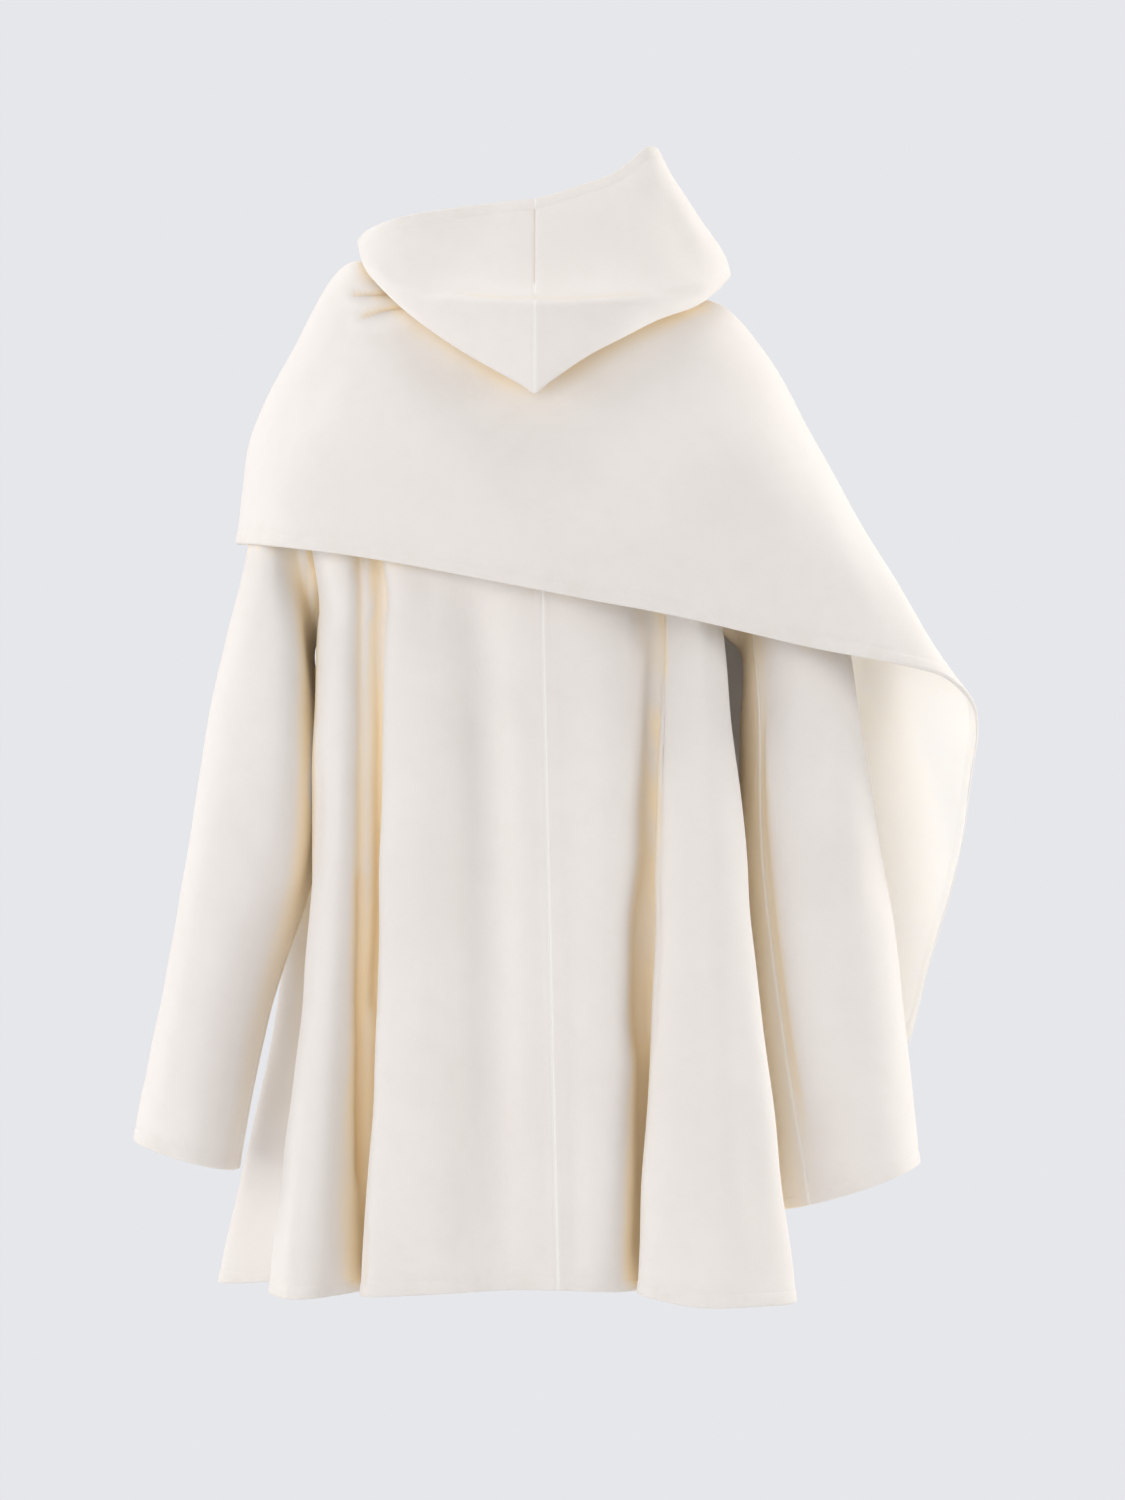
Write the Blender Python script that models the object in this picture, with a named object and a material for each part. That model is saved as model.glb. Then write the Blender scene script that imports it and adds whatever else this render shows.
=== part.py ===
"""A-line wool coat with a worn-down hood and a cape panel wrapped round the right arm, in its worn shape.

Tables and lengths are in millimetres and degrees; the meshes are written in metres.
+Z is up, +Y is the wearer's front and +X the wearer's right. The origin is the middle of the neck at the nape.
Angles run round the body: 0 is the centre back, 90 the wearer's right, 180 the centre front.
"""

import math
from bisect import bisect_right

import bmesh
import bpy
import numpy as np

# Driving sizes
CLOTH = 2.4
SEAM = 0.4
LAP = 1.5
HOOD_RISE = 3.0
CAPE_RUN = 12.0
CAPE_RISE = 3.1
CORNER = 0.6
SHOULDER_TIP = 120.0
UNDERARM = 310.0
BACK_ARMHOLE = 16.0
FRONT_ARMHOLE = 32.0
LAP_EDGE = 14.0
LAP_RAMP = 12.0
CAPE_COLUMNS = 50
COAT_RUNS = (0, 18, 38, 62, 90, 120, 150, 180, 212, 245, 278, 310, 395, 490, 600, 715, 835)
SLEEVE_SIDES = 24
WOOL = (0.87, 0.83, 0.77, 1.0)


def table(text):
    """Rows of a table: the first line names the columns, and each later row starts with its name."""
    lines = [line.split() for line in text.strip().splitlines()]
    return [
        dict(zip(lines[0], [line[0]] + [float(value) for value in line[1:]]))
        for line in lines[1:]
    ]


# Rings of the coat, from the neck down: half widths, half depths, heights and how far the hem folds have grown
COAT_RINGS = table("""
name      run  left  right  side_z  back  back_z  front  front_z  fold
neck        0    72     72       4    60       4     82      -62     0
collar     30   100    100     -12    74     -14     90      -80     0
shoulder   75   140    140     -34    88     -40     98     -105  0.01
tip       120   177    172     -58   102     -80    112     -140  0.04
blade     175   190    184    -110   113    -130    123     -175  0.12
arm       245   190    180    -180   119    -190    130     -215  0.24
yoke      310   176    144    -250   121    -250    133     -250  0.35
skirt     570   188    166    -508   135    -508    149     -508  0.67
hem       835   215    190    -770   150    -763    165     -772     1
""")

# The folds of the hem: where each crest, edge and hollow stands, and how much lower than the rest it hangs
HEM_FOLDS = table("""
name             angle    x    y drop late steps
back_seam            0   18 -150    0    1     2
right_crest         17   50 -154    0    1     2
right_turn          34   72 -138    0  1.4     2
right_groove        45   95  -98    0  1.5     2
right_edge          54   82 -168   -3  1.5     2
right_fold          61  122 -188    3  1.3     2
right_outer         69  166 -178    3    1     2
right_silhouette    76  200 -146    3    1     2
right_hollow        83  186  -92    0    1     2
side_right          90  178  -38    0    1     2
front_dip_right    102  173   28    0    1     2
front_fold_right   114  198   96    0    1     2
front_dip_2        127  150  118    0    1     2
front_fold_2       140  132  160    0    1     2
front_dip_3        154   82  148    0    1     2
lap_right          166   45  160    0    1     2
centre_front       180    0  166    0    1     2
lap_left           194  -45  160    0    1     2
front_dip_4        206  -86  146    0    1     2
front_fold_4       220 -138  162    0    1     2
front_dip_5        233 -160  118    0  1.5     2
front_fold_left    248 -258   96    16  2.6     3
front_dip_left     260 -172   24    5    1     2
side_left          270 -176  -38    0    1     2
left_hollow        279 -204  -96    0    1     2
left_line          287 -192 -146    0    1     2
left_fold          296 -170 -156    0    1     2
left_turn          303 -146 -132    0    1     2
left_groove        311 -120  -94    0    1     2
left_edge          317 -132 -152    0    1     3
left_crest         331  -80 -163    0    1     3
centre_dip         346  -24 -145    0    1     2
""")

# Sections of the sleeves: the outer and inner edge, the middle's depth and half the depth
SLEEVE_LEFT = table("""
name            outer  outer_z  inner  inner_z  mid_y  half_y   rows
upper             209     -101    177     -270     14      60      3
bicep             229     -196    170     -330     -3      63      3
elbow             265     -365    176     -442    -20      64      4
fore              289     -508    211     -559    -18      61      3
cuff              317     -660    237     -683     -6      59      3
""")
SLEEVE_RIGHT = table("""
name            outer  outer_z  inner  inner_z  mid_y  half_y   rows
upper             205     -105    165     -274     16      60      3
bicep             233     -196    164     -329     12      68      3
elbow             265     -376    160     -447     12      66      4
fore              290     -525    174     -581     16      65      3
cuff              307     -681    197     -717     24      64      3
""")

# Ribs of the cape from the neck down, as distance from the middle and height
CAPE_RIBS = table("""
name            angle  s_out    s_z  t_out    t_z  k_out    k_z
front_left       -166    108    -81    126   -105    151   -132
breast_left      -135    127    -33    156    -74    190   -125
chest_left       -110    140     15    182    -35    229   -101
side_left         -90    142     38    190    -31    223    -94
blade_left        -65    129      5    164    -45    190   -108
back_left         -45    111    -16    136    -59    159   -117
centre              0     88    -27    104    -62    121   -123
back_right         45    110    -16    136    -59    159   -117
blade_right        65    127     -5    161    -47    188   -105
side_right         90    143      5    183    -35    216    -94
chest_right       110    140      0    182    -40    224   -105
breast_right      135    125    -42    150    -85    181   -154
front_right       168    108    -85    122   -120    142   -191
""")
CAPE_ROWS = (2, 2, 2, 5)

# The lower edge of the cape, from its short end over the left breast to its long end down the right breast
CAPE_HEM = table("""
name            angle    out      z
short_corner     -166    169   -152
short_end        -150    187   -163
breast           -130    218   -175
chest            -110    250   -182
arm               -90    236   -185
arm_back          -68    217   -191
blade             -45    171   -203
centre              0    147   -227
back_right         45    169   -249
elbow              70    234   -271
rise               80    296   -284
turn_start         86    330   -295
turn               90    346   -315
widest             93    352   -343
below              96    352   -383
fall               99    344   -449
fall_mid        103.7    330   -522
fall_low        107.2    319   -592
long_corner       113    305   -656
long_end          128    260   -675
long_mid          146    217   -683
long_inner        168    184   -688
""")

# Ribs of the hood: how it leaves the neck, its lower fold, its lip, the crease above it, and its rim
HOOD_LEFT = table("""
name            angle  rise_out  rise_up  f_out    f_z  l_out    l_z  c_out    c_z  r_out    r_z  steps
centre              0        14       12    131    -76    150     -7    133      0     94     76      3
back              -22        14       12    137    -45    148     -4    138      1    105     72      3
blade             -45        14       12    146     -6    147      7    142     15    135     64      3
corner            -65        18       16    143     22    148     36    147     46    141     58      2
end               -80        24       22    135     36    141     46    142     52    138     56      2
side              -90        26       26    131     41    137     49    136     54    129     57      3
chest            -120        14       12    117      5    125     11    123     19    111     28      3
front            -150        12       10    105    -27    113    -20    111    -12    100     -2      3
corner_front     -178         8        5    105    -57    115    -50    114    -42    103    -30      1
""")
HOOD_RIGHT = table("""
name            angle  rise_out  rise_up  f_out    f_z  l_out    l_z  c_out    c_z  r_out    r_z  steps
centre              0        14       12    131    -76    150     -7    133      0     94     76      3
back               22        14       12    137    -41    149     -4    139      2     92     87      3
blade              45        14       12    143    -12    149      4    145      9     95    103      2
peak               58        14       12    148     -1    153     11    149     16    105    122      2
corner             75        14       12    151     14    155     22    153     30    105    113      3
side               92        14       12    148     22    154     27    153     33    105     98      3
chest             110        14       12    136     15    142     22    140     31    107     80      3
breast            130        14       12    119     -3    125      4    123     14    104     46      3
front             150        12       10    106    -27    114    -19    112    -10    100     12      3
corner_front      178         8        5    105    -57    115    -50    114    -42    103    -30      1
""")
HOOD_ROWS = (2, 2, 3, 4, 2, 4)


class Curve:
    """A smooth curve through points at rising knots."""

    def __init__(self, knots, points, start=None, straight=None):
        self.knots = [float(knot) for knot in knots]
        self.points = [np.array(point, float) for point in points]
        spans = np.diff(self.knots)
        slopes = [(b - a) / span for a, b, span in zip(self.points, self.points[1:], spans)]
        inner = [
            (slopes[i] * spans[i + 1] + slopes[i + 1] * spans[i]) / (spans[i] + spans[i + 1])
            for i in range(len(spans) - 1)
        ]
        if straight:
            inner[straight - 1] = slopes[straight]
        self.tangents = [slopes[0] if start is None else start, *inner, slopes[-1]]

    def at(self, knot):
        i = min(max(bisect_right(self.knots, knot) - 1, 0), len(self.knots) - 2)
        span = self.knots[i + 1] - self.knots[i]
        t = (knot - self.knots[i]) / span
        return (
            self.points[i] * (2 * t**3 - 3 * t**2 + 1)
            + self.tangents[i] * (t**3 - 2 * t**2 + t) * span
            + self.points[i + 1] * (3 * t**2 - 2 * t**3)
            + self.tangents[i + 1] * (t**3 - t**2) * span
        )


def through(points, start=None):
    """A smooth curve through points, with knots as far apart as the points."""
    points = [np.array(point, float) for point in points]
    steps = [np.linalg.norm(b - a) for a, b in zip(points, points[1:])]
    return Curve(np.concatenate([[0.0], np.cumsum(steps)]), points, start)


def sampled(curve, rows):
    """Points along a curve: each of its spans divided into as many rows as the list says."""
    knots = [curve.knots[0]]
    for start, end, count in zip(curve.knots, curve.knots[1:], rows):
        knots += [start + (end - start) * (i + 1) / count for i in range(int(count))]
    return [curve.at(knot) for knot in knots]


def unit(vector):
    return vector / np.linalg.norm(vector)


def polar(angle, out, z):
    turn = math.radians(angle)
    return np.array([out * math.sin(turn), -out * math.cos(turn), z])


# The coat's surface
def ring_point(ring, angle):
    """A point of a ring of the coat, before its folds."""
    side, end = math.sin(math.radians(angle)), math.cos(math.radians(angle))
    x = side * (ring["right"] if side > 0 else ring["left"])
    y = -end * (ring["back"] if end > 0 else ring["front"])
    end_z = ring["back_z"] if end > 0 else ring["front_z"]
    return np.array([x, y, end_z * end**2 + ring["side_z"] * side**2])


def fold_curve():
    """How far the hem's folds stand from its plain ring, by the angle round the body."""
    offsets = []
    for fold in HEM_FOLDS:
        plain = ring_point(COAT_RINGS[-1], fold["angle"])
        place = np.array([fold["x"], fold["y"], plain[2] - fold["drop"]])
        offsets.append((fold["angle"], np.append(place - plain, fold["late"])))
    before = [(angle - 360, offset) for angle, offset in offsets[-3:]]
    after = [(angle + 360, offset) for angle, offset in offsets[:3]]
    every = before + offsets + after
    return Curve([angle for angle, _ in every], [offset for _, offset in every])


FOLDS = fold_curve()


def narrowed(angle, run, front):
    """The angle of a column beside an armhole, where the columns draw in toward the centre back or front."""
    if not SHOULDER_TIP < run < UNDERARM:
        return angle
    opening = math.sin(math.pi * (run - SHOULDER_TIP) / (UNDERARM - SHOULDER_TIP)) ** 0.7
    right = angle if angle <= 180 else 360 - angle
    if front:
        right += FRONT_ARMHOLE * opening * ((180 - right) / 90) ** 2
    else:
        right -= BACK_ARMHOLE * opening * (right / 90) ** 2
    return right if angle <= 180 else 360 - right


def coat_surface(run, angle, front):
    place = narrowed(angle, run, front)
    *offset, late = FOLDS.at(angle)
    points = [ring_point(ring, place) + ring["fold"] ** late * np.array(offset) for ring in COAT_RINGS]
    return Curve([ring["run"] for ring in COAT_RINGS], points, straight=6).at(run)


def coat_point(run, angle, front, rise=0.0):
    """A point of the coat at this run from the neck, moved out from its surface by the rise."""
    point = coat_surface(run, angle, front)
    if not rise:
        return point
    down = coat_surface(run + 2, angle, front) - point
    across = coat_surface(run, angle + 0.5, front) - point
    return point + rise * unit(np.cross(down, across))


def lap_rise(angle):
    """How much of the lap's thickness a front has at this angle: none beside it, all of it over the lap."""
    beyond = abs(angle - 180) - LAP_EDGE
    return LAP * min(max(1 - beyond / LAP_RAMP, 0), 1)


def coat_angle(angle, ring):
    """The coat's own angle for a direction from the middle."""
    turn = math.radians(angle)
    depth = ring["back"] if abs(angle) < 90 else ring["front"]
    side = ring["right"]
    return math.degrees(math.atan2(math.sin(turn) / side, math.cos(turn) / depth)) % 360


def on_coat(run, angle, rise):
    """A point over the coat near its neck, in this direction from the middle."""
    own = coat_angle(angle, COAT_RINGS[0])
    return coat_point(run, own, 90 < own < 270, rise + lap_rise(own))


# Sheets of cloth
def drawn_in(point, inside, across, along, more=0.0):
    """A point on a seam drawn back into its piece, square to the seam, so that both walls clear."""
    seam = unit(along)
    inward = inside - point
    inward = unit(inward - np.dot(inward, seam) * seam)
    outward = across - point
    outward = unit(outward - np.dot(outward, seam) * seam)
    bend = math.acos(min(max(-np.dot(inward, outward), -1), 1))
    return point + inward * (more + SEAM / 2 + CLOTH / 2 * math.tan(bend / 2))


def material(name):
    wool = bpy.data.materials.new(name)
    wool.use_nodes = True
    shader = wool.node_tree.nodes["Principled BSDF"]
    shader.inputs["Base Color"].default_value = WOOL
    shader.inputs["Roughness"].default_value = 0.9
    shader.inputs["Metallic"].default_value = 0.0
    return wool


def sheet(name, grid):
    """A piece of cloth: a grid of points down its rows, thickened to the cloth's wall."""
    mesh = bmesh.new()
    rows = [[mesh.verts.new(point * 0.001) for point in row] for row in grid]
    for upper, lower in zip(rows, rows[1:]):
        for i in range(len(upper) - 1):
            mesh.faces.new((upper[i], lower[i], lower[i + 1], upper[i + 1]))
    bmesh.ops.triangulate(mesh, faces=mesh.faces[:], quad_method="SHORT_EDGE")
    data = bpy.data.meshes.new(name)
    mesh.to_mesh(data)
    mesh.free()
    data.shade_smooth()
    data.materials.append(material(name + "_wool"))
    piece = bpy.data.objects.new(name, data)
    bpy.context.scene.collection.objects.link(piece)
    wall = piece.modifiers.new("wall", "SOLIDIFY")
    wall.thickness = CLOTH * 0.001
    wall.offset = 0.0
    return piece


# The coat
def fold_angles(first, last):
    """The angles of the columns from one named fold to another, with each fold's steps between."""
    names = [fold["name"] for fold in HEM_FOLDS]
    start, end = names.index(first), names.index(last)
    count = len(HEM_FOLDS)
    stop = end if end > start else end + count
    angles = []
    for i in range(start, stop):
        fold, after = HEM_FOLDS[i % count], HEM_FOLDS[(i + 1) % count]
        span = (after["angle"] - fold["angle"]) % 360
        steps = int(fold["steps"])
        angles += [(fold["angle"] + span * step / steps) for step in range(steps)]
    return angles + [HEM_FOLDS[end]["angle"] or 360.0]


def coat_panel(name, first, last, front, lap):
    angles = fold_angles(first, last)
    grid = []
    for run in COAT_RUNS:
        row = [coat_point(run, angle, front, lap * lap_rise(angle)) for angle in angles]
        beside = SHOULDER_TIP < run < UNDERARM
        for fold, end, inside, step in ((first, 0, 1, -5), (last, -1, -2, 5)):
            centre = fold == "back_seam"
            if centre or (fold.startswith("side") and not beside):
                across = coat_point(run, (angles[end] + step) % 360, front if centre else not front)
                above = run if run == UNDERARM else run - 5
                below = run if run == SHOULDER_TIP else run + 5
                along = coat_surface(below, angles[end], front) - coat_surface(above, angles[end], front)
                row[end] = drawn_in(row[end], row[inside], across, along)
        grid.append(row)
    sheet(name, grid)


# The sleeves
def armhole(side):
    """The armhole's loop from the shoulder tip down its front and up its back, with the ways into the opening."""
    angle = 90.0 if side > 0 else 270.0
    edges = [run for run in COAT_RUNS if SHOULDER_TIP <= run <= UNDERARM]
    rounds = [(run, True) for run in edges] + [(run, False) for run in reversed(edges[1:-1])]
    loop = [coat_point(run, angle, front) for run, front in rounds]
    ways, normals = [], []
    for i, (run, front) in enumerate(rounds):
        along = loop[(i + 1) % len(loop)] - loop[i - 1]
        inside = angle + (0.01 if (side > 0) == front else -0.01)
        near = coat_surface(run, angle, front)
        down = coat_surface(run + 2, angle, front) - coat_surface(run - 2, angle, front)
        across = coat_surface(run, inside, front) - near
        normal = np.cross(down, across)
        if normal[0] * side < 0:
            normal = -normal
        way = unit(np.cross(normal, along))
        middle = sum(loop) / len(loop)
        if np.dot(way, middle - loop[i]) < 0:
            way = -way
        ways.append(way)
        normals.append(unit(normal))
    halved = []
    for places in (loop, ways, normals):
        after = places[1:] + places[:1]
        halved.append([place for a, b in zip(places, after) for place in (a, (a + b) / 2)])
    return halved


def sleeve(side, sections, names, back_seam):
    points, ways, normals = armhole(side)
    outward = unit(np.array([0.95 * side, 0.0, -0.3]))
    columns = []
    for i in range(SLEEVE_SIDES):
        turn = math.radians(np.interp(i, (0, 8, 12, back_seam[0], 24), (0, 124, 180, back_seam[1], 360)))
        height = math.cos(2 * math.pi * i / SLEEVE_SIDES)
        under = min(max(-2 * height, 0), 1)
        over = unit(outward + (0.6 * max(height, 0) - 0.2) * ways[i])
        bend = math.acos(min(max(np.dot(over, ways[i]), -1), 1))
        clear = 2 * SEAM / math.sin(bend) + CLOTH / 2 * math.tan(bend / 2)
        lead = unit((1 - under) * over + under * unit(0.5 * normals[i] - 0.85 * ways[i]))
        start = points[i] + (1 - under) * clear * over + under * (CLOTH + 1.5 * SEAM) * normals[i]
        stops = [start]
        for section in sections:
            outer = np.array([side * section["outer"], section["mid_y"], section["outer_z"]])
            inner = np.array([side * section["inner"], section["mid_y"], section["inner_z"]])
            depth = np.array([0.0, section["half_y"], 0.0])
            middle, half = (outer + inner) / 2, (outer - inner) / 2
            stops.append(middle + half * math.cos(turn) + depth * math.sin(turn))
        columns.append(sampled(through(stops, lead), [section["rows"] for section in sections]))
    for name, first, last in names:
        span = [i % SLEEVE_SIDES for i in range(first, last + 1)]
        before, after = columns[(first - 1) % SLEEVE_SIDES], columns[(last + 1) % SLEEVE_SIDES]
        grid = []
        for k in range(len(columns[0])):
            row = [columns[i][k] for i in span]
            above, below = max(k - 1, 0), min(k + 1, len(before) - 1)
            starts, ends = columns[span[0]], columns[span[-1]]
            corner = CORNER * max(1 - k / 3, 0)
            start = drawn_in(row[0], row[1], before[k], starts[below] - starts[above], corner)
            row[-1] = drawn_in(row[-1], row[-2], after[k], ends[below] - ends[above], corner)
            row[0] = start
            grid.append(row if side > 0 else row[::-1])
        sheet(name, grid)


# The cape
def cape():
    hem = through([polar(row["angle"], row["out"], row["z"]) for row in CAPE_HEM])
    keys = ("s_out", "s_z", "t_out", "t_z", "k_out", "k_z")
    ribs = Curve([row["angle"] for row in CAPE_RIBS], [[row[key] for key in keys] for row in CAPE_RIBS])
    columns = []
    for i in range(CAPE_COLUMNS):
        low = hem.at(hem.knots[-1] * i / (CAPE_COLUMNS - 1))
        angle = math.degrees(math.atan2(low[0], -low[1]))
        s_out, s_z, t_out, t_z, k_out, k_z = ribs.at(angle)
        stops = [
            on_coat(CAPE_RUN, angle, CAPE_RISE),
            polar(angle, s_out, s_z),
            polar(angle, t_out, t_z),
            polar(angle, k_out, k_z),
            low,
        ]
        columns.append(sampled(through(stops), CAPE_ROWS))
    sheet("cape", [list(row) for row in zip(*columns)])


# The hood
def hood(name, rows):
    keys = ("rise_out", "rise_up", "f_out", "f_z", "l_out", "l_z", "c_out", "c_z", "r_out", "r_z")
    side = 1 if rows[-1]["angle"] > 0 else -1
    ribs = Curve([side * row["angle"] for row in rows], [[row[key] for key in keys] for row in rows])
    angles = [
        row["angle"] + (after["angle"] - row["angle"]) * step / row["steps"]
        for row, after in zip(rows, rows[1:])
        for step in range(int(row["steps"]))
    ]
    columns = []
    for angle in angles + [rows[-1]["angle"]]:
        rise_out, rise_up, f_out, f_z, l_out, l_z, c_out, c_z, r_out, r_z = ribs.at(side * angle)
        base = on_coat(0, angle, 0) + np.array([0, 0, HOOD_RISE])
        rise = base + polar(angle, rise_out, rise_up - HOOD_RISE)
        fold = polar(angle, f_out, f_z)
        stops = [
            base,
            rise,
            (rise + fold) / 2,
            fold,
            polar(angle, l_out, l_z),
            polar(angle, c_out, c_z),
            polar(angle, r_out, r_z),
        ]
        columns.append(sampled(through(stops), HOOD_ROWS))
    for i, point in enumerate(columns[0]):
        after = columns[0][min(i + 1, len(columns[0]) - 1)] - columns[0][max(i - 1, 0)]
        normal = unit(np.cross(after, columns[1][i] - point))
        columns[0][i] = point + np.array([side * (SEAM / 2 + CLOTH / 2 * abs(normal[0])), 0, 0])
    if side < 0:
        columns.reverse()
    sheet(name, [list(row) for row in zip(*columns)])


for thing in list(bpy.data.objects):
    bpy.data.objects.remove(thing, do_unlink=True)

coat_panel("coat_back_right", "back_seam", "side_right", False, 0)
coat_panel("coat_back_left", "side_left", "back_seam", False, 0)
coat_panel("coat_front_right", "side_right", "lap_left", True, 1)
coat_panel("coat_front_left", "lap_right", "side_left", True, -1)
sleeve(1, SLEEVE_RIGHT, (("sleeve_right_top", -8, 8), ("sleeve_right_under", 8, 16)), (16, 232))
sleeve(-1, SLEEVE_LEFT, (("sleeve_left_top", -11, 8), ("sleeve_left_under", 8, 13)), (13, 198))
cape()
hood("hood_left", HOOD_LEFT)
hood("hood_right", HOOD_RIGHT)
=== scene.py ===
import math

import bpy
import numpy as np
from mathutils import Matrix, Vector
from mathutils.bvhtree import BVHTree


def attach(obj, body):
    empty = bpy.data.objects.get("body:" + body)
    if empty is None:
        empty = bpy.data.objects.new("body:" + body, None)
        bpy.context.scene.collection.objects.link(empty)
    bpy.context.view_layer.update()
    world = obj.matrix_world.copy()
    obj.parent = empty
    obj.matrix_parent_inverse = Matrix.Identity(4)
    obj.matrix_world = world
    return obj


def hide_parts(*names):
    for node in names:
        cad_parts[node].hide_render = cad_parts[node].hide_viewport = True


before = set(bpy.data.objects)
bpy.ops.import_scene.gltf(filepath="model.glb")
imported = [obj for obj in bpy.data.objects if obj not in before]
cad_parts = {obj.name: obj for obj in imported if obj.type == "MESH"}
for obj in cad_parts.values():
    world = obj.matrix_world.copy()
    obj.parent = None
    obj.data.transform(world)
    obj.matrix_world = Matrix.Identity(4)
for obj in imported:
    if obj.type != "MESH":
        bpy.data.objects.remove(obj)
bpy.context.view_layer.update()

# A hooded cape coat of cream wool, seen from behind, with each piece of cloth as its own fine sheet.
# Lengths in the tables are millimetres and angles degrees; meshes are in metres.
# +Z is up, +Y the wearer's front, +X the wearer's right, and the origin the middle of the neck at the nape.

METRES = 0.001

# Sizes of the cloth: its walls, its rolled edges, the turned band and its stitches, the hem and the seams
HALF_WALL = 1.2
SEAM_ROLL = 0.5
EDGE_ROLL = 1.3
RIM_STEPS = 4
TURNED = 9.0
TURNED_RISE = 0.5
STITCH_DIP = 0.1
STITCH_WIDTH = 1.1
STITCH_BEAT = 5.5
HEM_DEPTH = 32.0
HEM_RISE = 0.9
HEM_STEP = 1.5
SEAM_RIDGE = 0.55
SEAM_RIDGE_AWAY = 2.4
SEAM_RIDGE_WIDTH = 1.5

# Creases: how they fade at their ends, where the cloth turns from the view and at a seam, and how narrow
# one has to be for shade to be painted along it
RUN_OUT_SHARE = 0.35
RUN_OUT_WIDTHS = 3
FACING_FULL = 0.35
SEAM_CALM = 14
SEAM_WAVES = 0.25
CROSSING = 1.6
NARROW = 10

# Shade painted into the folds' colour: rays for each place, rows between places, and the rays' start and
# reach in metres
RAYS = 24
RAY_STEP = 4
RAY_START = 0.004
RAY_REACH = 0.11
FAR_LOSS = 0.6

# Light through the cape, from where its flare starts
GLOW = 0.95
GLOW_START = 210
GLOW_RUN = 40

# Sizes of the coat. The yoke is the number of the ring from which its panels fall straight.
LAP = 1.5
LAP_EDGE = 14.0
LAP_RAMP = 12.0
YOKE = 6
HOOD_RISE = 3.0
CAPE_RUN = 12.0
CAPE_RISE = 3.1
SHOULDER_TIP = 120.0
UNDERARM = 310.0
BACK_ARMHOLE = 16.0
FRONT_ARMHOLE = 32.0
ARMHOLE_ROUND = 0.7
ARMHOLE_RUNS = (120, 150, 180, 212, 245, 278, 310)
SLEEVE_SIDES = 24
CAP_GAP = 0.6
UNDERARM_GAP = 0.4

# Spacing of the grids: rows, places drawn before they are evened, steps beside an edge, and no edge near
COAT_ROWS = 116
SLEEVE_ROWS = 92
CAPE_ROWS = 74
HOOD_ROWS = 170
CURVE_DRAWN = 160
COAT_DRAWN = 260
CAPE_DRAWN = 420
HOOD_DRAWN = 180
EDGE_STEPS = (0, 0.7, 1.8, 3.5, 5.5, 7.4, 8.3, 9, 9.7, 10.8, 13, 17)
NO_EDGE = 400.0

# Small steps by which the coat's slopes are taken
SLOPE_RUN = 2
SLOPE_ANGLE = 0.5
BESIDE = 0.01


def table(text):
    """Rows of a table: the first line names the columns, and each later line starts with its row's name."""
    lines = [line.split() for line in text.strip().splitlines()]
    return [
        dict(zip(lines[0], [line[0]] + [float(value) for value in line[1:]]))
        for line in lines[1:]
    ]


# Rings of the coat, from the neck down: half widths, half depths, heights and how far the folds have grown
COAT_RINGS = table("""
name       run left right side_z back back_z front front_z  fold
neck         0   72    72      4   60      4    82     -62     0
collar      30  100   100    -12   74    -14    90     -80     0
shoulder    75  140   140    -34   88    -40    98    -105  0.01
tip        120  177   172    -58  102    -80   112    -140  0.04
blade      175  190   184   -110  113   -130   123    -175  0.12
arm        245  190   180   -180  119   -190   130    -215  0.24
yoke       310  176   144   -250  121   -250   133    -250  0.35
skirt      570  188   166   -508  135   -508   149    -508  0.67
hem        835  215   190   -770  150   -763   165    -772     1
""")

# The folds of the hem: where each crest, edge and hollow stands, how much lower than the rest it hangs,
# and how late the fold above it grows
HEM_FOLDS = table("""
name              angle     x     y drop late
back_seam             0    18  -150    0    1
right_crest          17    50  -154    0    1
right_turn           34    72  -138    0  1.4
right_groove         45    95   -98    0  1.5
right_edge           54    82  -168   -3  1.5
right_fold           61   122  -188    3  1.3
right_outer          69   166  -178    3    1
right_silhouette     76   200  -146    3    1
right_hollow         83   186   -92    0    1
side_right           90   178   -38    0    1
front_dip_right     102   173    28    0    1
front_fold_right    114   198    96    0    1
front_dip_2         127   150   118    0    1
front_fold_2        140   132   160    0    1
front_dip_3         154    82   148    0    1
lap_right           166    45   160    0    1
centre_front        180     0   166    0    1
lap_left            194   -45   160    0    1
front_dip_4         206   -86   146    0    1
front_fold_4        220  -138   162    0    1
front_dip_5         233  -160   118    0  1.5
front_fold_left     248  -258    96   16  1.7
front_dip_left      260  -172    24    5    1
side_left           270  -176   -38    0    1
left_hollow         279  -204   -96    0    1
left_line           287  -192  -146    0    1
left_fold           296  -170  -156    0    1
left_turn           303  -146  -132    0    1
left_groove         311  -120   -94    0    1
left_edge           317  -132  -152    0    1
left_crest          331   -80  -163    0    1
centre_dip          346   -24  -145    0    1
""")

# Sections of the sleeves: the outer and inner edge, the middle's depth and half the depth
SLEEVE_LEFT = table("""
name   outer outer_z inner inner_z mid_y half_y
upper    209    -101   177    -270    14     60
bicep    229    -196   170    -330    -3     63
elbow    265    -365   176    -442   -20     64
fore     289    -508   211    -559   -18     61
cuff     317    -660   237    -683    -6     59
""")
SLEEVE_RIGHT = table("""
name   outer outer_z inner inner_z mid_y half_y
upper    205    -105   165    -274    16     60
bicep    233    -196   164    -329    12     68
elbow    265    -376   160    -447    12     66
fore     290    -525   174    -581    16     65
cuff     307    -681   197    -717    24     64
""")

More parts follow.
